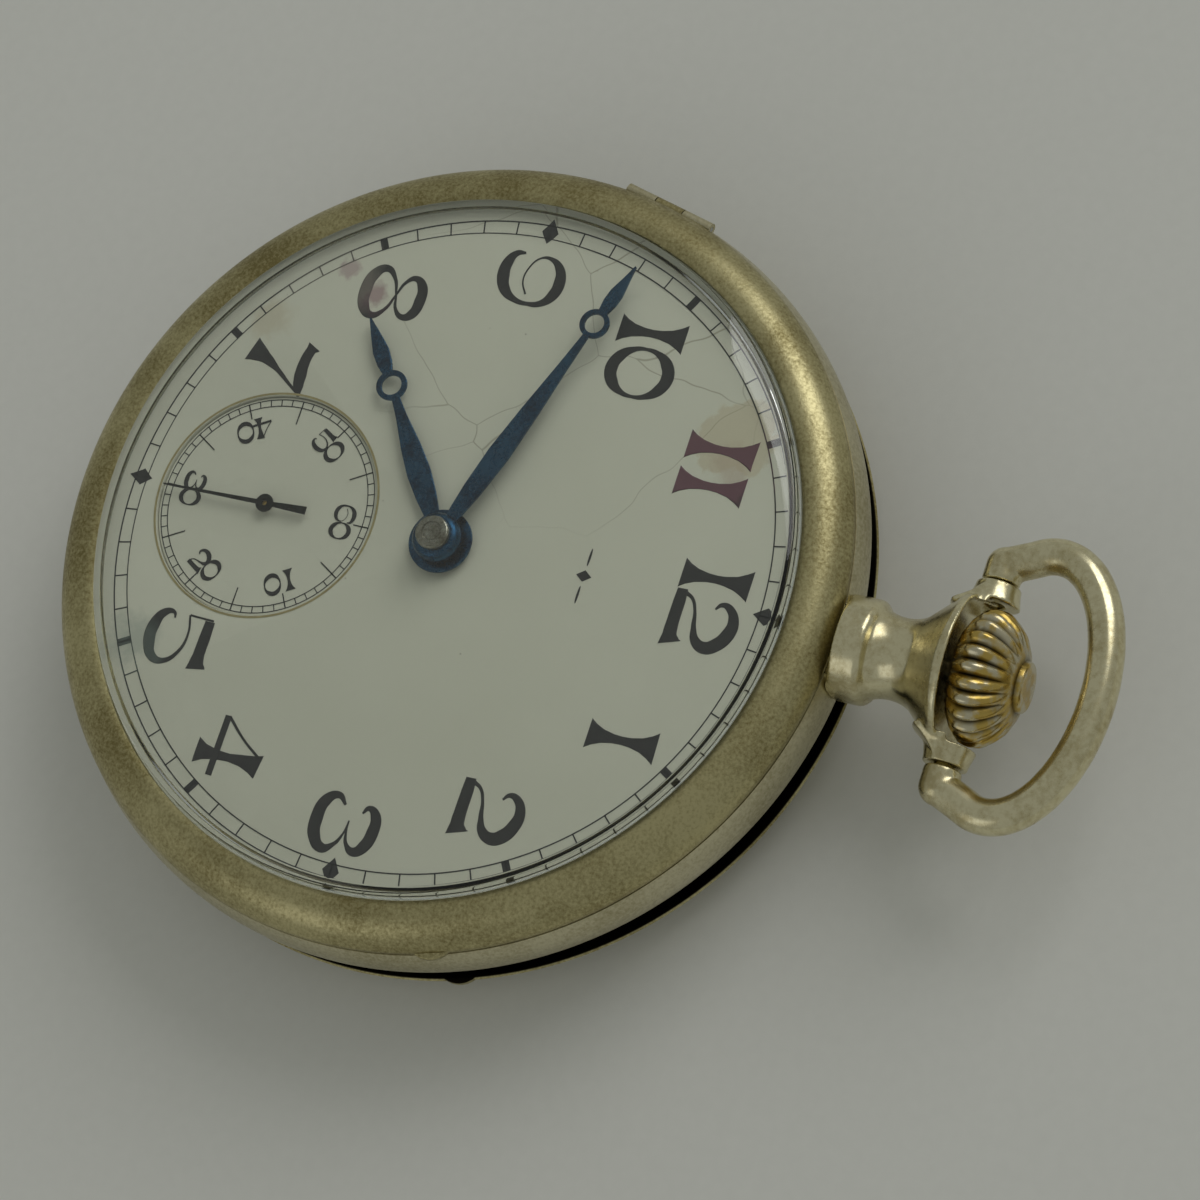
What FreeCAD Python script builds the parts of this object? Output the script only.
import FreeCAD, Part
import math
import os

# Open-face pocket watch: nickel case, enamel dial, stem-wound and stem-set lever movement.
# Frame: origin at the middle of the flat on the back, +Z out of the dial, +Y towards 12
# and the pendant, +X towards 3.  All sizes are millimetres.

# ---- overall sizes --------------------------------------------------------------------
plate_radius = 20.9          # main plate; every wheel and bridge is laid out on it
train_space = 3.0            # height between the plate and the bridges
unit = plate_radius / 20.9   # the plan of the movement follows the plate

# ---- heights from the back to the dial ---------------------------------------------------
back_wall = 0.45             # back cover
cover_gap = 0.35             # back cover to dust cover
dust_wall = 0.3              # dust cover
wheel_gap = 0.75             # dust cover to winding wheels
winding_wheel_height = 0.45
bridge_gap = 0.1             # winding wheels to bridges
bridge_height = 1.0
plate_height = 2.0
dial_height = 0.6

# ---- case -----------------------------------------------------------------------------
case_fit = 0.2               # plate to case bore
case_wall = 3.4              # case bore to the widest part of the band
bezel_drop = 0.9             # dial top down to the bezel joint
band_height = 2.8            # visible part of the band
groove_height = 2.2          # shadow groove between band and back cover
groove_depth = 1.1
bezel_rise = 1.05            # dial top up to the bezel's inner edge
bezel_width = 2.65           # bezel joint in to the bezel's inner edge
glass_height = 3.4           # dial top up to the top of the glass
glass_wall = 0.9
crown_flat = 1.0             # flat at the very middle of the dome
rest_radius = 16.5 * unit    # flat of the back
cover_rim = 0.85             # width of the back cover's rim
lid_play = 0.05              # covers and bezel to the band
joint_play = 0.03            # hinge pins in their knuckles
knuckle_radius = 0.38
hinge_pin_radius = 0.15
hinge_angle = 165.0          # degrees from 3 towards 12: case hinges near half past nine
lip_angle = 17.0             # thumb lips on bezel and back cover, near half past two

# ---- pendant, crown, bow ------------------------------------------------------------------
stem_in_plate = 0.2 * plate_height    # back of the plate up to the stem's axis
collar_radius = 3.05
collar_height = 1.7
neck_radius = 2.45
neck_height = 2.6
pivot_out = 7.3              # band to the bow's pivot
ear_wall = 1.15              # ear beside the crown's cup
ear_radius = 1.75
crown_radius = 3.9
crown_height = 3.9
crown_clear = 0.35           # crown to the pendant's cup
crown_flutes = 24
bezel_clear = 0.3            # bezel to the pendant's collar
crown_pull = 1.0             # travel from winding to setting
bow_wire = 2.1               # wire diameter
bow_spread = 1.1             # foot of the bow out to its widest
bow_half_height = 4.4
bow_centre_out = 3.0         # pivot to the middle of the loop
bow_tilt = 5.0               # degrees the loop stands above the dial plane
bow_pin_radius = 0.6

# ---- stem work ----------------------------------------------------------------------------
stem_radius = 0.7
pilot_radius = 0.25          # thin inner end of the stem
stem_pinion_teeth = 11
stem_module = 0.11 * plate_height    # the stem's pinions fill the plate
contrate_teeth = 30
turning_play = 0.05          # wheels and pinions on their posts

# ---- train ------------------------------------------------------------------------------
train_module = 0.14 * unit   # centre wheel on third pinion
third_module = 0.13 * unit
fourth_module = 0.115 * unit
barrel_module = 0.21 * unit
motion_module = 0.175 * unit
winding_module = 0.28 * unit
barrel_teeth, centre_leaves = 72, 12
centre_teeth, third_leaves = 80, 10
third_teeth, fourth_leaves = 75, 10
fourth_teeth, escape_leaves = 80, 8
escape_teeth = 15
cannon_leaves, minute_teeth = 12, 36
minute_leaves, hour_teeth = 10, 40
setting_teeth = 29
ratchet_teeth, crown_wheel_teeth = 52, 33
seconds_out = 11.6 * unit    # dial centre down to the seconds axis
arbor_radius = 0.3 * unit
tooth_share = 0.38           # tooth width on the pitch circle over the pitch
barrel_angle = 150.0
balance_radius = 6.0 * unit
wheel_rim = 0.55 * unit

# ---- dial and hands ------------------------------------------------------------------------
dial_cover = 0.8             # dial beyond the plate's edge
seconds_radius = 6.9 * unit
seconds_sink = 0.25
hour_reach = 15.3 * unit
hour_ring_out = 10.6 * unit
minute_reach = 19.5 * unit
minute_ring_out = 15.4 * unit
seconds_reach = 6.7 * unit
seconds_tail = 2.7 * unit
hour_angle = 234.1           # degrees clockwise from 12
minute_angle = 289.0
seconds_angle = 178.3
hand_height = 0.2

# ---- derived heights -----------------------------------------------------------------------
z_dust = back_wall + cover_gap
z_wheels = z_dust + dust_wall + wheel_gap
z_bridge = z_wheels + winding_wheel_height + bridge_gap
z_train = z_bridge + bridge_height
z_plate = z_train + train_space
z_dial_back = z_plate + plate_height
z_dial = z_dial_back + dial_height
z_stem = z_plate + stem_in_plate
z_joint = z_dial - bezel_drop
z_band_low = z_joint - band_height
z_rim = z_band_low - groove_height
z_neck = z_rim - 0.5         # bottom of the band, inside the back cover
pocket_floor = z_plate + 0.6
case_bore = plate_radius + case_fit
case_radius = case_bore + case_wall
ledge_radius = case_bore - 0.9
neck_outer = case_radius - groove_depth
dial_radius = plate_radius + dial_cover
bezel_seat = dial_radius + 0.25
joint_radius = case_radius - 0.4
bezel_inner = joint_radius - bezel_width
hinge_radius = case_radius - knuckle_radius
pivot_y = case_radius + pivot_out
ear_half_span = crown_radius + crown_clear + ear_wall
bow_foot = ear_half_span + bow_wire / 2 + 0.15
bow_half_width = bow_foot + bow_spread
X, Y, Z = FreeCAD.Vector(1, 0, 0), FreeCAD.Vector(0, 1, 0), FreeCAD.Vector(0, 0, 1)


# ---- helpers -------------------------------------------------------------------------------
def vec(x, y, z=0.0):
    return FreeCAD.Vector(x, y, z)


def around(radius, degrees, centre=(0.0, 0.0)):
    """A plan point at an angle from 3 towards 12."""
    a = math.radians(degrees)
    return (centre[0] + radius * math.cos(a), centre[1] + radius * math.sin(a))


def clock(radius, degrees, centre=(0.0, 0.0)):
    """A plan point at an angle clockwise from 12."""
    return around(radius, 90.0 - degrees, centre)


def disc(radius, low, high, centre=(0.0, 0.0)):
    return Part.makeCylinder(radius, high - low, vec(centre[0], centre[1], low))


def ring(outer, inner, low, high, centre=(0.0, 0.0)):
    return disc(outer, low, high, centre).cut(disc(inner, low - 1, high + 1, centre))


def plate(points, low, high):
    """A flat piece from plan points."""
    corners = [vec(x, y, low) for x, y in points]
    face = Part.Face(Part.makePolygon(corners + corners[:1]))
    return face.extrude(vec(0, 0, high - low))


def box(x0, x1, y0, y1, z0, z1):
    return Part.makeBox(x1 - x0, y1 - y0, z1 - z0, vec(x0, y0, z0))


def turned(profile, axis="z"):
    """A turned piece. The profile holds (radius, height) corners; a corner with a third
    value True is the middle of an arc between its neighbours."""
    at = (lambda p: vec(p[0], 0, p[1])) if axis == "z" else (lambda p: vec(p[0], p[1], 0))
    edges, last, bend = [], profile[0], None
    for corner in list(profile[1:]) + [profile[0]]:
        if len(corner) == 3:
            bend = corner
            continue
        if bend is None:
            edges.append(Part.makeLine(at(last), at(corner)))
        else:
            edges.append(Part.Arc(at(last), at(bend), at(corner)).toShape())
        last, bend = corner, None
    face = Part.Face(Part.Wire(edges))
    return face.revolve(vec(0, 0, 0), Z if axis == "z" else Y, 360)


def on_stem(shape):
    """Moves a piece turned about Y up to the stem's axis."""
    return shape.translated(vec(0, 0, z_stem))


def rod(radius, y0, y1, x=0.0, z=None):
    return Part.makeCylinder(radius, y1 - y0, vec(x, y0, z_stem if z is None else z), Y)


def fuse(shapes):
    whole = shapes[0].multiFuse(shapes[1:]) if len(shapes) > 1 else shapes[0]
    return whole.removeSplitter()


def cut(shape, tools):
    return shape.cut(Part.makeCompound(tools)) if tools else shape


# ---- toothed wheels -----------------------------------------------------------------------
def pitch_radius(teeth, module):
    return teeth * module / 2


def tip_radius(teeth, module):
    return pitch_radius(teeth, module) + 0.9 * module


def toothed(teeth, module, phase, low, high, centre, share=tooth_share):
    """A spur wheel blank with straight-flanked teeth; phase is one tooth's angle, degrees."""
    pitch, half = 360.0 / teeth, 180.0 * share / teeth
    foot, tip = pitch_radius(teeth, module) - 1.15 * module, tip_radius(teeth, module)
    points = []
    for i in range(teeth):
        a = phase + i * pitch
        points += [around(foot, a - 1.2 * half, centre), around(tip, a - 0.5 * half, centre),
                   around(tip, a + 0.5 * half, centre), around(foot, a + 1.2 * half, centre)]
    return plate(points, low, high)


def mesh_phase(teeth, phase, other_teeth, centre, other):
    """Phase that puts a gap of the other wheel over each tooth of this one."""
    line = math.degrees(math.atan2(other[1] - centre[1], other[0] - centre[0]))
    ahead = (phase - line) % (360.0 / teeth)
    return line + 180.0 - ahead * teeth / other_teeth + 180.0 / other_teeth


def crossings(outer, inner, arms, arm_width, low, high, centre, turn=0.0):
    """The windows between a wheel's arms."""
    windows = ring(outer, inner, low - 0.1, high + 0.1, centre)
    bars = []
    for i in range(arms):
        bar = box(0, outer + 1, -arm_width / 2, arm_width / 2, low - 0.2, high + 0.2)
        bar.rotate(vec(0, 0, 0), Z, turn + 360.0 * i / arms)
        bars.append(bar.translated(vec(centre[0], centre[1])))
    return windows.cut(Part.makeCompound(bars))


def crossed_wheel(teeth, module, phase, low, high, centre, arms=5):
    wheel = toothed(teeth, module, phase, low, high, centre)
    rim = pitch_radius(teeth, module) - 1.15 * module - wheel_rim
    return wheel.cut(crossings(rim, 1.3 * unit, arms, 0.6 * unit, low, high, centre, phase))


# ---- plan of the train --------------------------------------------------------------------
def meeting_point(a, b, from_a, from_b, side):
    """The point at two distances from two others, on the right (1) or left (-1)."""
    dx, dy = b[0] - a[0], b[1] - a[1]
    span = math.hypot(dx, dy)
    along = (from_a ** 2 - from_b ** 2 + span ** 2) / (2 * span)
    off = math.sqrt(from_a ** 2 - along ** 2) * side
    return (a[0] + (dx * along - dy * off) / span, a[1] + (dy * along + dx * off) / span)


centre_at = (0.0, 0.0)
fourth_at = (0.0, -seconds_out)
centre_third = (centre_teeth + third_leaves) * train_module / 2
third_fourth = (third_teeth + fourth_leaves) * third_module / 2
fourth_escape = (fourth_teeth + escape_leaves) * fourth_module / 2
third_at = meeting_point(centre_at, fourth_at, centre_third, third_fourth, 1)
escape_at = around(fourth_escape, 14.2, fourth_at)
escape_radius = 2.6 * unit
lever_line = 56.6            # direction from the escape wheel to the balance
pallet_at = around(3.1 * unit, lever_line, escape_at)
balance_at = around(4.6 * unit, lever_line, pallet_at)
barrel_at = around((barrel_teeth + centre_leaves) * barrel_module / 2, barrel_angle)
minute_at = (0.0, (cannon_leaves + minute_teeth) * motion_module / 2)
hour_module = 2 * minute_at[1] / (minute_leaves + hour_teeth)
setting_at = (0.0, minute_at[1] + (minute_teeth + setting_teeth) * motion_module / 2)
contrate_radius = contrate_teeth * stem_module / 2
winding_distance = (ratchet_teeth + crown_wheel_teeth) * winding_module / 2
contrate_at = (0.0, barrel_at[1] + math.sqrt(winding_distance ** 2 - barrel_at[0] ** 2))
post_radius = 1.4 * unit
post_out = 17.6 * unit
barrel_posts = [around(post_out, a) for a in (20.0, 60.0, 116.0, 180.0)]
train_posts = [around(post_out, a) for a in (215.0, 250.0, 285.0)]
cock_posts = [around(post_out, a) for a in (-15.0, -33.0)]
pallet_post = around(3.4 * unit, lever_line - 90.0, pallet_at)

# tooth phases, followed through the train so that every pair stands in mesh
centre_phase = 0.0
third_leaf_phase = mesh_phase(centre_teeth, centre_phase, third_leaves, centre_at, third_at)
third_phase = third_leaf_phase
fourth_leaf_phase = mesh_phase(third_teeth, third_phase, fourth_leaves, third_at, fourth_at)
fourth_phase = fourth_leaf_phase
escape_leaf_phase = mesh_phase(fourth_teeth, fourth_phase, escape_leaves, fourth_at, escape_at)
barrel_phase = mesh_phase(centre_leaves, centre_phase, barrel_teeth, centre_at, barrel_at)
cannon_phase = 0.0
minute_phase = mesh_phase(cannon_leaves, cannon_phase, minute_teeth, centre_at, minute_at)
hour_phase = mesh_phase(minute_leaves, minute_phase, hour_teeth, minute_at, centre_at)
setting_phase = mesh_phase(minute_teeth, minute_phase, setting_teeth, minute_at, setting_at)
crown_wheel_phase = 0.0
ratchet_phase = mesh_phase(crown_wheel_teeth, crown_wheel_phase, ratchet_teeth,
                           contrate_at, barrel_at)


def level(height):
    """A height in the train space, drawn for 3 mm and shared out if the space changes."""
    return z_train + height * train_space / 3.0


# ---- case hinges ----------------------------------------------------------------------------
def hinge_bar(radius, start, end, out, height):
    """A cylinder along a case hinge, from start to end either side of its middle."""
    a = math.radians(hinge_angle)
    along = vec(-math.sin(a), math.cos(a))
    middle = vec(out * math.cos(a), out * math.sin(a), height)
    return Part.makeCylinder(radius, end - start, middle + along * start, along)


class Hinge:
    """A three-knuckle hinge: two knuckles on the fixed piece, one on the cover."""

    def __init__(self, out, height, knuckle, pin, length):
        self.place, self.knuckle, self.pin_radius, self.length = (out, height), knuckle, pin, length

    def bar(self, radius, start, end):
        return hinge_bar(radius, start, end, *self.place)

    def fixed(self):
        third, half = self.length / 6, self.length / 2
        pieces = [self.bar(self.knuckle, -half, -third), self.bar(self.knuckle, third, half)]
        return [p.cut(self.bar(self.pin_radius, -half - 1, half + 1)) for p in pieces]

    def moving(self):
        third = self.length / 6 - lid_play
        return self.bar(self.knuckle, -third, third).cut(self.moving_bore())

    def moving_bore(self):
        return self.bar(self.pin_radius + joint_play, -self.length, self.length)

    def pin(self):
        return self.bar(self.pin_radius, -self.length / 2, self.length / 2)

    def web(self, start, end, inward, low, high):
        """A flat strip from the knuckle in to the piece it belongs to."""
        strip = box(self.place[0] - inward, self.place[0], start, end, low, high)
        strip.rotate(vec(0, 0, 0), Z, hinge_angle)
        return strip

    def fixed_pocket(self):
        """Room in the fixed piece for the moving knuckle and the pin."""
        third = self.length / 6
        return [self.bar(self.knuckle + 2 * lid_play, -third, third),
                self.bar(self.pin_radius, -self.length / 2, self.length / 2)]

    def moving_pocket(self):
        """Room in the cover for the fixed knuckles."""
        third, half = self.length / 6, self.length / 2
        room = self.knuckle + 2 * lid_play
        return [self.bar(room, -half - lid_play, -third + lid_play),
                self.bar(room, third - lid_play, half + lid_play), self.moving_bore()]


bezel_hinge = Hinge(hinge_radius, z_joint, knuckle_radius, hinge_pin_radius, 6.0)
back_hinge = Hinge(hinge_radius, z_rim + 0.2, knuckle_radius, hinge_pin_radius, 6.0)
dust_hinge = Hinge(case_bore + 1.2, z_neck, 0.32, 0.14, 5.0)


# ---- case pieces ----------------------------------------------------------------------------
def thumb_lip(out, low, high):
    """A small rounded lip to open a cover by."""
    return disc(1.7, low, high, around(out - 1.15, lip_angle))


def dust_seat():
    return case_bore + 0.9


def band_outline():
    top = z_joint
    return [(case_bore, z_plate), (case_bore, z_dial_back - lid_play),
            (bezel_seat - 0.1, z_dial_back - lid_play), (bezel_seat - 0.1, top),
            (joint_radius, top), (case_radius, (top + z_band_low) / 2, True),
            (case_radius - 0.15, z_band_low), (neck_outer + 0.1, z_band_low - 0.7),
            (neck_outer, z_band_low - 1.0), (neck_outer, z_neck), (dust_seat(), z_neck),
            (dust_seat(), z_neck + 0.5), (ledge_radius, z_neck + 0.5), (ledge_radius, z_plate)]


def case_band():
    band = turned(band_outline())
    reach = hinge_radius - neck_outer + 0.3
    half, third = back_hinge.length / 2, back_hinge.length / 6
    webs = [back_hinge.web(a, b, reach, z_rim + 0.25, z_rim + 0.65)
            for a, b in ((-half, -third), (third, half))]
    band = fuse([band] + bezel_hinge.fixed() + back_hinge.fixed() + webs + dust_hinge.fixed())
    holes = bezel_hinge.fixed_pocket() + back_hinge.fixed_pocket() + dust_hinge.fixed_pocket()
    holes.append(rod(neck_radius, bezel_seat, case_radius + 1))
    holes.append(rod(stem_radius + 0.15, ledge_radius - 1, case_radius + 1))
    return cut(band, holes)


def bezel():
    profile = [(bezel_seat, z_joint + lid_play), (joint_radius - 0.05, z_joint + lid_play),
               (joint_radius, z_joint + 0.45),
               (joint_radius - 0.85, z_dial + 0.7, True),
               (bezel_inner + 0.35, z_dial + bezel_rise + 0.12),
               (bezel_inner, z_dial + bezel_rise), (bezel_inner, z_dial + 0.85),
               (bezel_inner + 0.35, z_dial + 0.85), (bezel_inner + 0.35, z_dial + 0.45),
               (bezel_inner, z_dial + 0.45), (bezel_inner, z_dial + 0.2),
               (bezel_seat, z_dial + 0.2)]
    body = turned(profile).cut(Part.makeCompound(bezel_hinge.moving_pocket()))
    lip = thumb_lip(joint_radius, z_joint + lid_play, z_joint + 0.5)
    lip = lip.cut(disc(joint_radius - 0.5, 0, z_dial))
    return fuse([body, bezel_hinge.moving(), lip]).cut(bezel_hinge.moving_bore())


def crystal():
    edge, top = bezel_inner + 0.3, z_dial + glass_height
    wall_out, shoulder = bezel_inner - 0.1, z_dial + glass_height - 1.25
    inner_top = top - glass_wall
    profile = [(0, inner_top), (crown_flat, inner_top), (wall_out * 0.55, inner_top - 0.28, True),
               (wall_out - 1.6, shoulder - glass_wall + 0.05), (wall_out - 0.75, z_dial + 0.95),
               (wall_out - 0.6, z_dial + 0.5), (edge, z_dial + 0.5), (edge, z_dial + 0.8),
               (wall_out, z_dial + 0.85), (wall_out - 0.15, shoulder - 0.5),
               (wall_out - 1.15, shoulder), (wall_out * 0.55, top - 0.36, True), (crown_flat, top),
               (0, top)]
    return turned(profile)


def back_cover():
    rim_low = z_rim
    steep = rest_radius + (neck_outer - rest_radius) * 0.55
    outer = [(0, 0), (rest_radius, 0), (steep, 0.5, True), (neck_outer + 0.35, rim_low - 1.15),
             (case_radius - 0.35, rim_low - 0.3), (case_radius - 0.2, rim_low + 0.05),
             (case_radius - 0.35, rim_low + 0.2), (neck_outer + lid_play, rim_low + 0.2)]
    inner = [(neck_outer + lid_play, z_neck - 0.1), (neck_outer - 0.75, rim_low - 1.15),
             (steep - 0.1, 0.5 + back_wall, True), (rest_radius, back_wall), (0, back_wall)]
    body = cut(turned(outer + inner), back_hinge.moving_pocket())
    lip = thumb_lip(case_radius - 0.35, rim_low - 0.25, rim_low + 0.2)
    lip = lip.cut(disc(case_radius - 0.8, 0, z_dial))
    return fuse([body, back_hinge.moving(), lip]).cut(back_hinge.moving_bore())


def dust_cover():
    seat, flat = dust_seat() - lid_play, rest_radius + 0.3
    slope = ledge_radius + 0.5
    profile = [(0, z_dust), (flat, z_dust), (slope, z_neck - 0.3), (seat, z_neck),
               (seat, z_neck + 0.4), (slope - 0.2, z_neck + 0.4),
               (slope - 0.2, z_neck), (flat - 0.15, z_dust + dust_wall), (0, z_dust + dust_wall)]
    body = cut(turned(profile), dust_hinge.moving_pocket())
    tongue = dust_hinge.web(-0.7, 0.7, 0.8, z_neck + lid_play, z_neck + 0.25)
    return fuse([body, tongue, dust_hinge.bar(dust_hinge.knuckle, -0.7, 0.7)]).cut(
        dust_hinge.moving_bore())


# ---- pendant, crown and bow ---------------------------------------------------------------------
cup_floor = pivot_y - 0.9    # where the crown sits inside the pendant's head


def ear(side):
    inner = crown_radius + crown_clear
    start = inner if side > 0 else -ear_half_span
    return Part.makeCylinder(ear_radius, ear_half_span - inner, vec(start, pivot_y, z_stem), X)


def pendant():
    base = case_radius - 0.35
    collar_top, neck_top = case_radius + collar_height, case_radius + collar_height + neck_height
    root = bezel_seat
    profile = [(0, root), (neck_radius, root), (neck_radius, base),
               (collar_radius, base), (collar_radius, collar_top - 0.25),
               (collar_radius - 0.25, collar_top), (neck_radius + 0.15, collar_top + 0.1),
               (neck_radius - 0.1, (collar_top + neck_top) / 2, True), (neck_radius + 0.25, neck_top),
               (crown_radius + crown_clear + 0.25, cup_floor - 0.1),
               (crown_radius + crown_clear + 0.35, cup_floor + 0.35), (0, cup_floor + 0.35)]
    body = on_stem(turned(profile, "y"))
    ears = [ear(side) for side in (-1, 1)]
    cheek_low = neck_top + 0.6
    inner = crown_radius + crown_clear
    cheeks = [Part.makeBox(ear_half_span - inner + 0.6, pivot_y - cheek_low, 2 * ear_radius,
                           vec(x, cheek_low, z_stem - ear_radius))
              for x in (inner - 0.6, -ear_half_span)]
    envelope = on_stem(turned([(0, base - 2), (collar_radius, base - 2), (collar_radius, neck_top),
                               (ear_half_span + 0.15, pivot_y - 0.5),
                               (ear_half_span + 0.15, pivot_y + 3), (0, pivot_y + 3)], "y"))
    head = fuse([body] + ears + [c.common(envelope) for c in cheeks])
    holes = [disc(joint_radius + bezel_clear, z_joint - 0.01, z_dial + 9),
             rod(crown_radius + crown_clear, cup_floor, pivot_y + 5),
             rod(stem_radius + turning_play, base - 3, pivot_y),
             Part.makeCylinder(bow_pin_radius + joint_play, 30, vec(-15, pivot_y, z_stem), X)]
    return cut(head, holes + [band_solid_blank()])


def band_solid_blank():
    """The band's outside, so that the collar fits against it."""
    return turned([(bezel_seat, z_band_low - 1.0), (neck_outer, z_band_low - 1.0),
                   (neck_outer + 0.1, z_band_low - 0.7), (case_radius - 0.15, z_band_low),
                   (case_radius, (z_joint + z_band_low) / 2, True), (joint_radius, z_joint),
                   (bezel_seat, z_joint)]).cut(rod(neck_radius, 0, case_radius + 1))


def crown():
    base, top = cup_floor + 0.3, cup_floor + 0.3 + crown_height
    profile = [(0, base), (crown_radius - 1.1, base), (crown_radius - 0.15, base + 0.75),
               (crown_radius + 0.02, base + 1.5, True), (crown_radius - 0.35, base + 2.3),
               (2.6, top - 0.75), (1.75, top - 0.45), (1.45, top - 0.4), (1.3, top), (0, top)]
    body = on_stem(turned(profile, "y"))
    grooves = []
    for i in range(crown_flutes):
        groove = rod(0.24, base - 0.5, top - 0.8, crown_radius + 0.02)
        groove.rotate(vec(0, 0, z_stem), Y, 360.0 * i / crown_flutes)
        grooves.append(groove)
    return cut(body, grooves + [rod(stem_radius, base - 1, base + 2.2)])


def bow():
    """A round wire bent to an oval, its ends flattened to bosses that turn in the ears."""
    radius, middle = bow_wire / 2, pivot_y + bow_centre_out
    foot = vec(bow_foot, pivot_y, z_stem)
    sweep = math.pi + 0.7
    points = [foot]
    for i in range(17):
        t = -0.35 + sweep * i / 16
        points.append(vec(bow_half_width * math.cos(t), middle + bow_half_height * math.sin(t),
                          z_stem))
    points.append(vec(-bow_foot, pivot_y, z_stem))
    curve = Part.BSplineCurve()
    curve.interpolate(Points=points, InitialTangent=Y, FinalTangent=Y * -1)
    section = Part.Wire([Part.Circle(foot, Y, radius).toShape()])
    pieces = [Part.Wire([curve.toShape()]).makePipeShell([section], True, False)]
    inner = crown_radius + crown_clear + 0.2
    for side in (-1, 1):
        start = vec(side * (ear_half_span + 0.1), pivot_y, z_stem)
        pieces.append(Part.makeCylinder(radius + 0.1, 2 * radius + 0.15, start, X * side))
        pieces.append(Part.makeCylinder(bow_pin_radius, bow_foot - inner,
                                        vec(side * inner, pivot_y, z_stem), X * side))
    shape = pieces[0]
    for piece in pieces[1:]:
        shape = shape.fuse(piece)
    shape = shape.removeSplitter()
    shape.rotate(vec(0, pivot_y, z_stem), X, bow_tilt)
    return shape


# ---- keyless work ---------------------------------------------------------------------------
winding_mid = contrate_at[1] + contrate_radius
winding_low, winding_high = winding_mid - 0.6, winding_mid + 0.6
sliding_high = winding_low - 0.1
sliding_low = sliding_high - 2.3
groove_low, groove_high = sliding_low + 0.7, sliding_low + 1.2
stem_groove = winding_high + 1.0     # groove for the setting lever
pull_share = 0.8                     # sliding pinion's travel over the crown's
setting_stud = 0.6                   # radius of the post the setting wheel turns on
pilot_low = setting_at[1] + setting_stud + 0.1    # the stem ends clear of that post


def stem_toothed(teeth, module, y0, y1, phase):
    """A pinion about the stem's axis."""
    blank = toothed(teeth, module, phase, 0, y1 - y0, (0, 0))
    blank.rotate(vec(0, 0, 0), X, -90)
    return blank.translated(vec(0, y0, z_stem))


def winding_stem():
    reach = cup_floor + 0.3 + 2.2
    stem = fuse([rod(stem_radius, sliding_low - 0.6, reach),
                 rod(pilot_radius, pilot_low, sliding_low)])
    slot = rod(stem_radius + 1, stem_groove, stem_groove + 0.5).cut(
        rod(stem_radius * 0.6, stem_groove - 1, stem_groove + 2))
    return stem.cut(slot)


def winding_pinion():
    blank = stem_toothed(stem_pinion_teeth, stem_module, winding_low, winding_high, 90.0)
    return blank.cut(rod(stem_radius + turning_play, winding_low - 1, winding_high + 1))


def sliding_pinion():
    outer = tip_radius(stem_pinion_teeth, stem_module)
    body = rod(outer, sliding_low, sliding_high)
    neck = rod(outer + 1, groove_low, groove_high).cut(
        rod(stem_radius + 0.2, groove_low - 1, groove_high + 1))
    notches = []
    for i in range(8):
        notch = box(-0.16, 0.16, sliding_low - 1, sliding_low + 0.35, 0.9, 2.0)
        notch.rotate(vec(0, 0, 0), Y, 45.0 * i)
        notches.append(on_stem(notch))
    bore = rod(stem_radius + turning_play, sliding_low - 1, sliding_high + 1)
    return cut(body, [neck, bore] + notches)


def contrate_wheel():
    """Turned by the winding pinion, it carries the crown wheel through the bridge."""
    tip = z_stem - pitch_radius(stem_pinion_teeth, stem_module) + 0.75 * stem_module
    foot = tip - 2.0 * stem_module
    outer, inner = contrate_radius + 0.4, contrate_radius - 0.4
    body = disc(outer, foot - 0.6, foot, contrate_at)
    teeth = []
    pitch = 2 * math.pi * contrate_radius / contrate_teeth
    wide, narrow = 0.45 * pitch, 0.22 * pitch
    for i in range(contrate_teeth):
        section = [vec(inner, -wide / 2, foot - 0.1), vec(inner, wide / 2, foot - 0.1),
                   vec(inner, narrow / 2, tip), vec(inner, -narrow / 2, tip)]
        tooth = Part.Face(Part.makePolygon(section + section[:1])).extrude(vec(outer - inner, 0, 0))
        tooth.rotate(vec(0, 0, 0), Z, 90 + (i + 0.5) * 360.0 / contrate_teeth)
        teeth.append(tooth.translated(vec(*contrate_at)))
    post = disc(1.0 * unit, z_wheels, foot - 0.5, contrate_at)
    return fuse([body, post] + teeth)


def crown_wheel():
    wheel = toothed(crown_wheel_teeth, winding_module, crown_wheel_phase, z_wheels,
                    z_wheels + winding_wheel_height, contrate_at)
    return wheel.cut(disc(1.0 * unit, z_wheels - 1, z_bridge, contrate_at))


def setting_wheel():
    low, high = motion_levels()[0]
    wheel = toothed(setting_teeth, motion_module, setting_phase, low, high, setting_at)
    return wheel.cut(disc(0.6 + turning_play, low - 1, high + 1, setting_at))


def motion_levels():
    depth = z_dial_back - pocket_floor
    first = pocket_floor + 0.08 * depth
    second = pocket_floor + 0.55 * depth
    return (first, first + 0.22 * depth), (second, second + 0.2 * depth)


lever_pivot = (3.4, stem_groove + 0.25)
yoke_pivot = (-5.0, (groove_low + groove_high) / 2)
yoke_arm = -yoke_pivot[0] - stem_radius - 0.4
keyless_floor = z_plate + 0.25


def setting_lever():
    """Its finger sits in the stem's groove and follows the stem."""
    low, high = z_stem + 0.95, z_dial_back - 0.15
    x, y = lever_pivot
    arm = box(-0.35, x + 0.2, y - 0.45, y + 0.45, low, high)
    boss = disc(0.85, low, high, lever_pivot)
    tail = box(x - 0.4, x + 0.4, y - 3.0, y, low, high)
    finger = box(-0.35, 0.35, y - 0.17, y + 0.17, z_stem + stem_radius * 0.6 + 0.05, low + 0.1)
    lever = fuse([arm, boss, tail, finger])
    return lever.cut(disc(0.4 + turning_play, low - 1, high + 1, lever_pivot))


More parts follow.
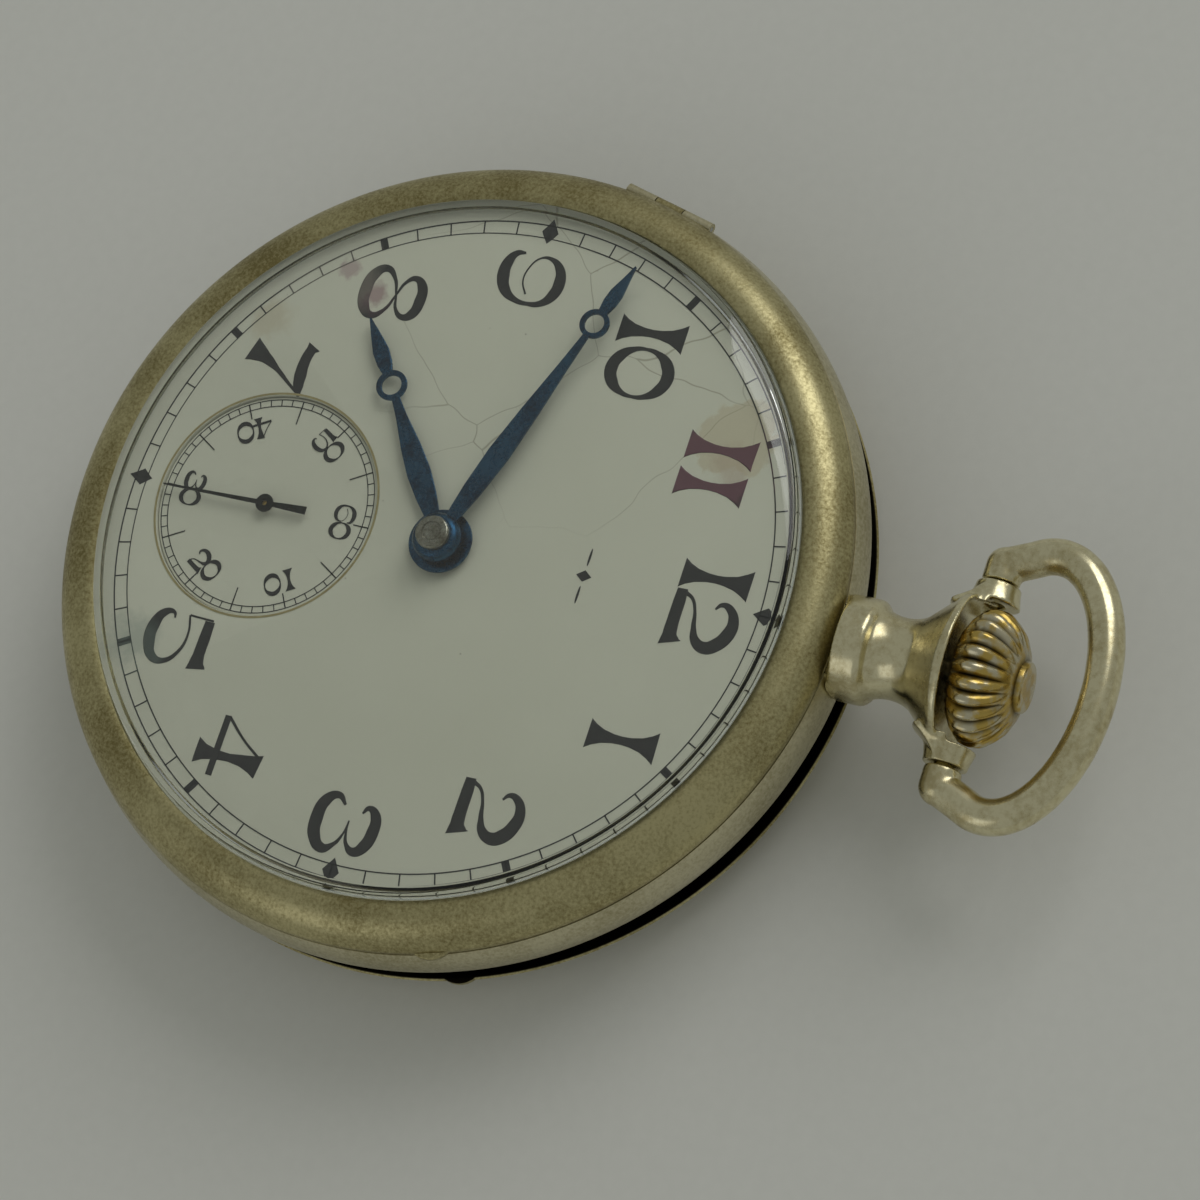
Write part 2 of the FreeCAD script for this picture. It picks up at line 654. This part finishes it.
def yoke():
    """Its finger sits in the sliding pinion's groove."""
    low, high = keyless_floor + 0.05, keyless_floor + 0.45
    x, y = yoke_pivot
    arm = box(x, -stem_radius - 0.25, y - 0.19, y + 0.19, low, high)
    boss = disc(0.8, low, high, yoke_pivot)
    return fuse([arm, boss]).cut(disc(0.4 + turning_play, low - 1, high + 1, yoke_pivot))


# ---- plate and bridges ------------------------------------------------------------------------
def pivot_holes(low, high):
    return {"centre": disc(1.1 * unit, low, high, centre_at),
            "third": disc(0.8 * unit, low, high, third_at),
            "fourth": disc(0.8 * unit, low, high, fourth_at),
            "escape": disc(0.7 * unit, low, high, escape_at),
            "pallet": disc(0.7 * unit, low, high, pallet_at),
            "balance": disc(0.9 * unit, low, high, balance_at),
            "barrel": disc(1.3 * unit, low, high, barrel_at)}


def main_plate():
    body = disc(plate_radius, z_plate, z_dial_back)
    top = z_dial_back + 1
    motion = [disc(4.0 * unit, pocket_floor, top, centre_at),
              disc(tip_radius(minute_teeth, motion_module) + 0.3, pocket_floor, top, minute_at),
              disc(tip_radius(setting_teeth, motion_module) + 0.3, pocket_floor, top, setting_at),
              box(-6.2, 4.8, sliding_low - 1.6, stem_groove + 1.2, keyless_floor, top),
              box(-1.0, 2.2, stem_groove, stem_groove + crown_pull + 0.95, keyless_floor, top),
              rod(1.6, sliding_low - 1.5, winding_high + 0.15),
              rod(pilot_radius + turning_play, pilot_low - 0.1, plate_radius + 1),
              rod(stem_radius + turning_play, sliding_low - 0.8, plate_radius + 1),
              rod(stem_radius + 0.3, stem_groove - 0.1, plate_radius + 1)]
    body = cut(body, motion)
    holes = pivot_holes(z_plate - 1, top)
    body = cut(body, [holes[name] for name in holes])
    studs = [disc(setting_stud, pocket_floor - 0.1, z_dial_back - 0.1, setting_at),
             disc(0.5 * unit, pocket_floor - 0.1, z_dial_back - 0.1, minute_at)]
    return fuse([body] + studs)


def keyless_posts():
    """The two shouldered posts the setting lever and yoke turn on."""
    return [disc(0.4, keyless_floor, z_dial_back - 0.05, at) for at in (lever_pivot, yoke_pivot)]


def bridge_field(points, holes, posts):
    """A bridge cut from the round of the movement, with posts down to the plate."""
    field = plate(points, z_bridge, z_train).common(disc(plate_radius - 1.5 * unit, 0, z_train))
    legs = [disc(post_radius, z_train, z_plate, at) for at in posts]
    body = fuse([field] + legs)
    screws = [screw_hole(at) for at in posts]
    return cut(body, holes + screws)


def screw_hole(at):
    return fuse([disc(1.0 * unit, z_bridge - 1, z_bridge + 0.45, at),
                 disc(0.5 * unit, z_bridge, z_plate, at)])


def bridge_screw(at):
    head = disc(0.95 * unit, z_bridge + 0.05, z_bridge + 0.45, at)
    shank = disc(0.5 * unit, z_bridge + 0.45, z_plate, at)
    slot = box(at[0] - 1.2 * unit, at[0] + 1.2 * unit, at[1] - 0.12, at[1] + 0.12,
               z_bridge, z_bridge + 0.2)
    return fuse([head, shank]).cut(slot)


def barrel_bridge():
    far = plate_radius * 1.2
    points = [(-far, -1.9 * unit), (3.4 * unit, -1.9 * unit), (3.4 * unit, 3.4 * unit),
              (far, 3.4 * unit), (far, far), (-far, far)]
    holes = pivot_holes(0, z_plate)
    return bridge_field(points, [holes["centre"], holes["barrel"],
                                 disc(1.0 * unit + turning_play, 0, z_plate, contrate_at)], barrel_posts)


def train_bridge():
    far = plate_radius * 1.2
    points = [(-far, -2.3 * unit), (2.9 * unit, -2.3 * unit), (2.9 * unit, -7.2 * unit),
              (7.6 * unit, -10.5 * unit), (7.6 * unit, -far), (-far, -far)]
    holes = pivot_holes(0, z_plate)
    return bridge_field(points, [holes[n] for n in ("third", "fourth", "escape")], train_posts)


def balance_cock():
    head = disc(2.3 * unit, z_bridge, z_train, balance_at)
    a, b = cock_posts
    points = [around(1.9 * unit, 62.0, balance_at), around(1.9 * unit, 208.0 + 30, balance_at),
              around(2.0 * unit, 250.0, b), around(2.0 * unit, -33.0, b),
              around(2.0 * unit, -15.0, a), around(2.0 * unit, 75.0, a)]
    arm = plate(points, z_bridge, z_train).common(disc(plate_radius - 1.5 * unit, 0, z_train))
    legs = [disc(post_radius, z_train, z_plate, at) for at in cock_posts]
    body = fuse([head, arm] + legs)
    hole = pivot_holes(0, z_plate)["balance"]
    return cut(body, [hole] + [screw_hole(at) for at in cock_posts])


def pallet_cock():
    low, high = level(1.2), level(1.55)
    arm_half = 0.8 * unit
    a = math.radians(lever_line - 90.0)
    side = (-math.sin(a) * arm_half, math.cos(a) * arm_half)
    points = [(pallet_at[0] + side[0], pallet_at[1] + side[1]),
              (pallet_at[0] - side[0], pallet_at[1] - side[1]),
              (pallet_post[0] - side[0], pallet_post[1] - side[1]),
              (pallet_post[0] + side[0], pallet_post[1] + side[1])]
    body = fuse([plate(points, low, high), disc(1.1 * unit, low, high, pallet_at),
                 disc(1.2 * unit, low, z_plate, pallet_post)])
    return body.cut(disc(arbor_radius * 0.6 + 0.02, low - 1, high + 1, pallet_at))


def jewels():
    """Bearings pressed in the plate and bridges, one ring for each pivot."""
    pivots = {"centre": 0.5, "third": 0.18, "fourth": 0.18, "escape": 0.18, "balance": 0.15}
    outer = pivot_holes(z_bridge + 0.3, z_train)
    lower = pivot_holes(z_plate, z_plate + 0.6)
    rings = []
    for name, radius in pivots.items():
        at = {"centre": centre_at, "third": third_at, "fourth": fourth_at,
              "escape": escape_at, "balance": balance_at}[name]
        bore = disc(radius * unit + 0.03, 0, z_dial, at)
        rings += [outer[name].cut(bore), lower[name].cut(bore)]
    rings.append(lower["pallet"].cut(disc(0.18 * unit + 0.03, 0, z_dial, pallet_at)))
    return Part.makeCompound(rings)


# ---- going train ----------------------------------------------------------------------------
def arbor(at, radius, low, high, pivot):
    """A steel arbor with a pivot at each end."""
    body = disc(radius, low + 0.15, high - 0.15, at)
    return fuse([body, disc(pivot, low - 0.45, high + 0.35, at)])


def wheel_with_pinion(at, wheel, leaves, pivot):
    return fuse([arbor(at, arbor_radius, z_train, z_plate, pivot * unit), wheel, leaves])


def centre_wheel():
    wheel = crossed_wheel(centre_teeth, train_module, centre_phase, level(2.2), level(2.4), centre_at)
    leaves = toothed(centre_leaves, barrel_module, centre_phase, level(1.3), level(2.2), centre_at)
    post = disc(0.5 * unit, z_bridge + 0.3, z_dial + 1.2, centre_at)
    return fuse([wheel, leaves, post])


def third_wheel():
    wheel = crossed_wheel(third_teeth, third_module, third_phase, level(1.0), level(1.18), third_at)
    leaves = toothed(third_leaves, train_module, third_leaf_phase, level(2.05), level(2.55), third_at)
    return wheel_with_pinion(third_at, wheel, leaves, 0.18)


def fourth_wheel():
    wheel = crossed_wheel(fourth_teeth, fourth_module, fourth_phase, level(0.3), level(0.48),
                          fourth_at)
    leaves = toothed(fourth_leaves, third_module, fourth_leaf_phase, level(0.85), level(1.35),
                     fourth_at)
    # the long front pivot goes through the dial and carries the seconds hand
    pivot = disc(0.18 * unit, z_plate - 0.5, z_dial + 0.15, fourth_at)
    return fuse([wheel_with_pinion(fourth_at, wheel, leaves, 0.18), pivot])


def escape_wheel():
    low, high = level(1.8), level(2.0)
    points = []
    for i in range(escape_teeth):
        a = 360.0 / escape_teeth * i
        for radius, ahead in ((0.72, 0), (1.0, 6.0), (0.97, 9.0), (0.72, 8.0)):
            points.append(around(escape_radius * radius, a + ahead, escape_at))
    wheel = plate(points, low, high)
    wheel = wheel.cut(crossings(0.6 * escape_radius, 0.7 * unit, 4, 0.35 * unit, low, high, escape_at))
    leaves = toothed(escape_leaves, fourth_module, escape_leaf_phase, level(0.15), level(0.65),
                     escape_at)
    return wheel_with_pinion(escape_at, wheel, leaves, 0.18)


def barrel():
    """Drum and toothed rim; the spring lies inside."""
    low, rim, high = level(0.2), level(1.4), level(2.0)
    outer = tip_radius(barrel_teeth, barrel_module) - 2.2 * barrel_module
    drum = disc(outer, low, rim, barrel_at)
    teeth = toothed(barrel_teeth, barrel_module, barrel_phase, rim, high - 0.12, barrel_at)
    hollow = disc(outer - 0.35, low + 0.25, high - 0.35, barrel_at)
    bore = disc(1.0 * unit + turning_play, low - 1, high + 1, barrel_at)
    return cut(fuse([drum, teeth]), [hollow, bore])


def barrel_arbor():
    low = z_wheels
    post = disc(0.8 * unit, low, z_plate + 0.9, barrel_at)
    core = disc(1.0 * unit, z_bridge + bridge_height * 0.5, level(2.0), barrel_at)
    square = 0.5 * unit
    shape = fuse([post, core])
    flats = [box(-2, 2, square, 2, low - 1, z_bridge), box(-2, 2, -2, -square, low - 1, z_bridge),
             box(square, 2, -2, 2, low - 1, z_bridge), box(-2, -square, -2, 2, low - 1, z_bridge)]
    return cut(shape, [f.translated(vec(*barrel_at)) for f in flats])


def ratchet_wheel():
    wheel = toothed(ratchet_teeth, winding_module, ratchet_phase, z_wheels,
                    z_wheels + winding_wheel_height, barrel_at)
    side = 0.52 * unit
    hole = box(-side, side, -side, side, z_wheels - 1, z_bridge).translated(vec(*barrel_at))
    return wheel.cut(hole)


def spiral(centre, inner, outer, turns, thick, low, high, turn=0.0):
    """A flat coiled spring."""
    steps = int(turns * 16)
    sides = []
    for offset in (-thick / 2, thick / 2):
        points = []
        for i in range(steps + 1):
            share = i / steps
            radius = inner + (outer - inner) * share + offset
            x, y = around(radius, turn + 360.0 * turns * share, centre)
            points.append(vec(x, y, low))
        curve = Part.BSplineCurve()
        curve.interpolate(points)
        sides.append((curve.toShape(), points[0], points[-1]))
    (a, a0, a1), (b, b0, b1) = sides
    wire = Part.Wire([a, Part.makeLine(a1, b1), b, Part.makeLine(b0, a0)])
    return Part.Face(wire).extrude(vec(0, 0, high - low))


def mainspring():
    outer = tip_radius(barrel_teeth, barrel_module) - 2.2 * barrel_module - 0.35
    return spiral(barrel_at, 1.35 * unit, outer - 0.3, 9, 0.18, level(0.2) + 0.3,
                  level(2.0) - 0.4)


# ---- escapement and balance -------------------------------------------------------------------
def in_line(points, centre, low, high):
    """A flat piece drawn along the line from the escape wheel to the balance."""
    placed = []
    for along, across in points:
        x, y = around(along * unit, lever_line, centre)
        placed.append(around(across * unit, lever_line + 90.0, (x, y)))
    return plate(placed, low, high)


def pallet_fork():
    low, high = level(1.8), level(2.0)
    stem = in_line([(-0.3, -0.2), (3.2, -0.16), (3.2, 0.16), (-0.3, 0.2)], pallet_at, low, high)
    horns = in_line([(3.0, -0.45), (3.55, -0.45), (3.55, -0.2), (3.25, -0.18), (3.25, 0.18),
                     (3.55, 0.2), (3.55, 0.45), (3.0, 0.45)], pallet_at, low, high)
    arms = in_line([(0.35, -0.5), (0.35, 0.5), (-0.15, 1.75), (-0.9, 2.3), (-1.2, 1.98),
                    (-0.75, 1.6), (-0.45, 0.9), (-0.35, 0.0), (-0.45, -0.9), (-0.75, -1.6),
                    (-1.2, -1.98), (-0.9, -2.3), (-0.15, -1.75)], pallet_at, low, high)
    staff = fuse([disc(0.28 * unit, level(1.65), z_plate - 0.15, pallet_at),
                  disc(0.18 * unit, level(1.25), z_plate + 0.4, pallet_at)])
    return fuse([stem, horns, arms, staff])


def balance_wheel():
    low, high = level(0.42), level(0.8)
    rim = ring(balance_radius, balance_radius - 0.55 * unit, low, high, balance_at)
    arm = box(-balance_radius + 0.2, balance_radius - 0.2, -0.35 * unit, 0.35 * unit,
              low, low + 0.2).translated(vec(*balance_at))
    hub = disc(0.9 * unit, low, low + 0.2, balance_at)
    screws = []
    for i in range(12):
        a = 15.0 + 30.0 * i
        x, y = around(balance_radius - 0.1, a, balance_at)
        screw = Part.makeCylinder(0.17 * unit, 0.35 * unit, vec(x, y, (low + high) / 2),
                                  vec(math.cos(math.radians(a)), math.sin(math.radians(a))))
        screws.append(screw)
    return fuse([rim, arm, hub] + screws).cut(disc(0.45 * unit, low - 1, high + 1, balance_at))


def balance_staff():
    staff = disc(0.45 * unit, level(0.35), level(2.2), balance_at)
    pivots = disc(0.15 * unit, z_bridge + 0.35, z_plate + 0.5, balance_at)
    roller = disc(0.95 * unit, level(2.1), level(2.3), balance_at)
    x, y = around(0.7 * unit, lever_line + 180.0, balance_at)
    jewel = disc(0.12 * unit, level(1.8), level(2.2), (x, y))
    return fuse([staff, pivots, roller, jewel])


def hairspring():
    coil = spiral(balance_at, 0.8 * unit, 3.2 * unit, 8, 0.06, level(0.1), level(0.28))
    collet = ring(0.9 * unit, 0.15 * unit, level(0.1), level(0.28), balance_at)
    return fuse([coil, collet])


def click():
    """Stops the ratchet wheel running back."""
    low, high = z_wheels, z_wheels + winding_wheel_height
    a = 262.0
    nose = around(tip_radius(ratchet_teeth, winding_module) + 0.06, a, barrel_at)
    pivot = around(tip_radius(ratchet_teeth, winding_module) + 1.2 * unit, a - 16.0, barrel_at)
    wide = 0.75 * unit
    body = fuse([plate([nose, around(0.6 * unit, a + 20.0, nose),
                        around(wide * 0.9, a + 60.0, pivot), around(wide * 0.9, a + 200.0, pivot)],
                       low, high), disc(wide, low, high, pivot)])
    return body.cut(disc(0.35 * unit + turning_play, low - 1, high + 1, pivot)), pivot


def click_post():
    pivot = click()[1]
    return fuse([disc(0.35 * unit, z_wheels - 0.05, z_bridge, pivot),
                 disc(0.6 * unit, z_wheels - 0.3, z_wheels - 0.05, pivot)])


def click_spring():
    pivot = click()[1]
    x, y = pivot
    low, high = z_wheels + 0.1, z_bridge
    foot = disc(0.6 * unit, low, high, (x - 3.6 * unit, y - 0.3 * unit))
    leaf = plate([(x - 3.6 * unit, y - 0.75 * unit), (x - 0.3 * unit, y - 0.98 * unit),
                  (x - 0.3 * unit, y - 0.86 * unit), (x - 3.6 * unit, y - 0.5 * unit)], low, high - 0.05)
    return fuse([foot, leaf])


# ---- motion work and hands ----------------------------------------------------------------------
def cannon_pinion():
    (low, high), _ = motion_levels()
    leaves = toothed(cannon_leaves, motion_module, cannon_phase, low, high, centre_at)
    pipe = disc(0.75 * unit, high - 0.05, z_dial + 1.0, centre_at)
    return fuse([leaves, pipe]).cut(disc(0.5 * unit, 0, z_dial + 5, centre_at))


def minute_wheel():
    (low, high), (low2, high2) = motion_levels()
    wheel = toothed(minute_teeth, motion_module, minute_phase, low, high, minute_at)
    leaves = toothed(minute_leaves, hour_module, minute_phase, high - 0.05, high2, minute_at)
    return fuse([wheel, leaves]).cut(disc(0.5 * unit + turning_play, 0, z_dial, minute_at))


def hour_wheel():
    _, (low, high) = motion_levels()
    wheel = toothed(hour_teeth, hour_module, hour_phase, low, high, centre_at)
    pipe = disc(1.1 * unit, high - 0.05, z_dial + 0.35, centre_at)
    return fuse([wheel, pipe]).cut(disc(0.75 * unit + turning_play, 0, z_dial + 5, centre_at))


def dial():
    body = disc(dial_radius, z_dial_back, z_dial)
    sink = disc(seconds_radius, z_dial - seconds_sink, z_dial + 1, fourth_at)
    well = disc(seconds_radius - 0.35, z_dial_back - 1, z_dial + 1, fourth_at)
    edge = disc(1.1 * unit + 0.15, z_dial_back - 1, z_dial + 1, centre_at)
    return cut(body, [sink, well, edge])


def seconds_dial():
    body = disc(seconds_radius - 0.35, z_dial_back, z_dial - seconds_sink, fourth_at)
    return body.cut(disc(0.18 * unit + 0.12, 0, z_dial + 1, fourth_at))


def hand_arm(angle, stations, low, high):
    """A flat blade from (distance out, half width) stations."""
    left, right = [], []
    for out, half in stations:
        base = clock(out, angle)
        left.append(clock(half, angle - 90.0, base))
        right.append(clock(half, angle + 90.0, base))
    return plate(left + right[::-1], low, high)


def ringed_hand(angle, reach, ring_out, ring_outer, ring_inner, hub, bore, arm_half, low, high):
    hub_disc = disc(hub, low, high)
    arm = hand_arm(angle, [(0, arm_half * 0.9), (reach * 0.28, arm_half * 1.15),
                           (ring_out - ring_outer * 0.8, arm_half * 0.45)], low, high)
    blade = hand_arm(angle, [(ring_out + ring_inner, ring_outer * 0.35),
                             (ring_out + ring_outer * 1.5, ring_outer * 0.62),
                             (reach - 0.4, 0.16), (reach, 0.05)], low, high)
    eye_at = clock(ring_out, angle)
    whole = fuse([hub_disc, arm, blade, disc(ring_outer, low, high, eye_at)])
    return cut(whole, [disc(ring_inner, low - 1, high + 1, eye_at), disc(bore, low - 1, high + 1)])


def hour_hand():
    low = z_dial + 0.4
    return ringed_hand(hour_angle, hour_reach, hour_ring_out, 0.95 * unit, 0.62 * unit, 1.9 * unit,
                       0.75 * unit + turning_play, 0.62 * unit, low, low + hand_height)


def minute_hand():
    low = z_dial + 1.0
    return ringed_hand(minute_angle, minute_reach, minute_ring_out, 0.9 * unit, 0.6 * unit,
                       1.45 * unit, 0.5 * unit, 0.6 * unit, low, low + hand_height)


def hand_collet():
    low = z_dial + 1.0 + hand_height
    dome = turned([(0.5 * unit, low), (1.45 * unit, low), (1.3 * unit, low + 0.35, True),
                   (1.0 * unit, low + 0.5), (0.5 * unit, low + 0.5)])
    return dome


def centre_cap():
    """The bright end of the centre arbor above the hands."""
    low = z_dial + 1.2 + hand_height
    return turned([(0, z_dial + 1.2), (0.5 * unit, z_dial + 1.2), (0.5 * unit, low + 0.3),
                   (1.0 * unit, low + 0.3), (1.0 * unit, low + 0.6), (0.85 * unit, low + 0.75),
                   (0.53 * unit, low + 0.75), (0.5 * unit, low + 0.68), (0, low + 0.68)])


def seconds_hand():
    low = z_dial + 0.15
    boss = disc(0.55 * unit, low, low + 0.2, fourth_at)
    needle = []
    for side, out, start, end in ((0.0, seconds_reach, 0.13, 0.07), (180.0, seconds_tail, 0.13, 0.2)):
        angle = seconds_angle + side
        base, tip = fourth_at, clock(out, angle, fourth_at)
        needle.append(plate([clock(start, angle - 90, base), clock(start, angle + 90, base),
                             clock(end, angle + 90, tip), clock(end, angle - 90, tip)],
                            low, low + 0.12))
    return fuse([boss] + needle)


# ---- write every piece --------------------------------------------------------------------------
def pieces():
    click_shape, _ = click()
    yield "case_band", case_band()
    yield "bezel", bezel()
    yield "crystal", crystal()
    yield "back_cover", back_cover()
    yield "dust_cover", dust_cover()
    yield "bezel_hinge_pin", bezel_hinge.pin()
    yield "back_hinge_pin", back_hinge.pin()
    yield "dust_hinge_pin", dust_hinge.pin()
    yield "pendant", pendant()
    yield "crown", crown()
    yield "bow", bow()
    yield "winding_stem", winding_stem()
    yield "winding_pinion", winding_pinion()
    yield "sliding_pinion", sliding_pinion()
    yield "contrate_wheel", contrate_wheel()
    yield "crown_wheel", crown_wheel()
    yield "setting_wheel", setting_wheel()
    yield "setting_lever", setting_lever()
    yield "setting_yoke", yoke()
    yield "keyless_posts", Part.makeCompound(keyless_posts())
    yield "main_plate", main_plate()
    yield "barrel_bridge", barrel_bridge()
    yield "train_bridge", train_bridge()
    yield "balance_cock", balance_cock()
    yield "pallet_cock", pallet_cock()
    yield "jewels", jewels()
    yield "bridge_screws", Part.makeCompound(
        [bridge_screw(at) for at in barrel_posts + train_posts + cock_posts])
    yield "barrel", barrel()
    yield "barrel_arbor", barrel_arbor()
    yield "mainspring", mainspring()
    yield "ratchet_wheel", ratchet_wheel()
    yield "click", click_shape
    yield "click_post", click_post()
    yield "click_spring", click_spring()
    yield "centre_wheel", centre_wheel()
    yield "third_wheel", third_wheel()
    yield "fourth_wheel", fourth_wheel()
    yield "escape_wheel", escape_wheel()
    yield "pallet_fork", pallet_fork()
    yield "balance_wheel", balance_wheel()
    yield "balance_staff", balance_staff()
    yield "hairspring", hairspring()
    yield "cannon_pinion", cannon_pinion()
    yield "minute_wheel", minute_wheel()
    yield "hour_wheel", hour_wheel()
    yield "dial", dial()
    yield "seconds_dial", seconds_dial()
    yield "hour_hand", hour_hand()
    yield "minute_hand", minute_hand()
    yield "hand_collet", hand_collet()
    yield "centre_cap", centre_cap()
    yield "seconds_hand", seconds_hand()


os.makedirs("parts", exist_ok=True)
for name, shape in pieces():
    shape.exportStep("parts/" + name + ".step")
    print(name, len(shape.Solids), round(shape.Volume, 3), shape.isValid())
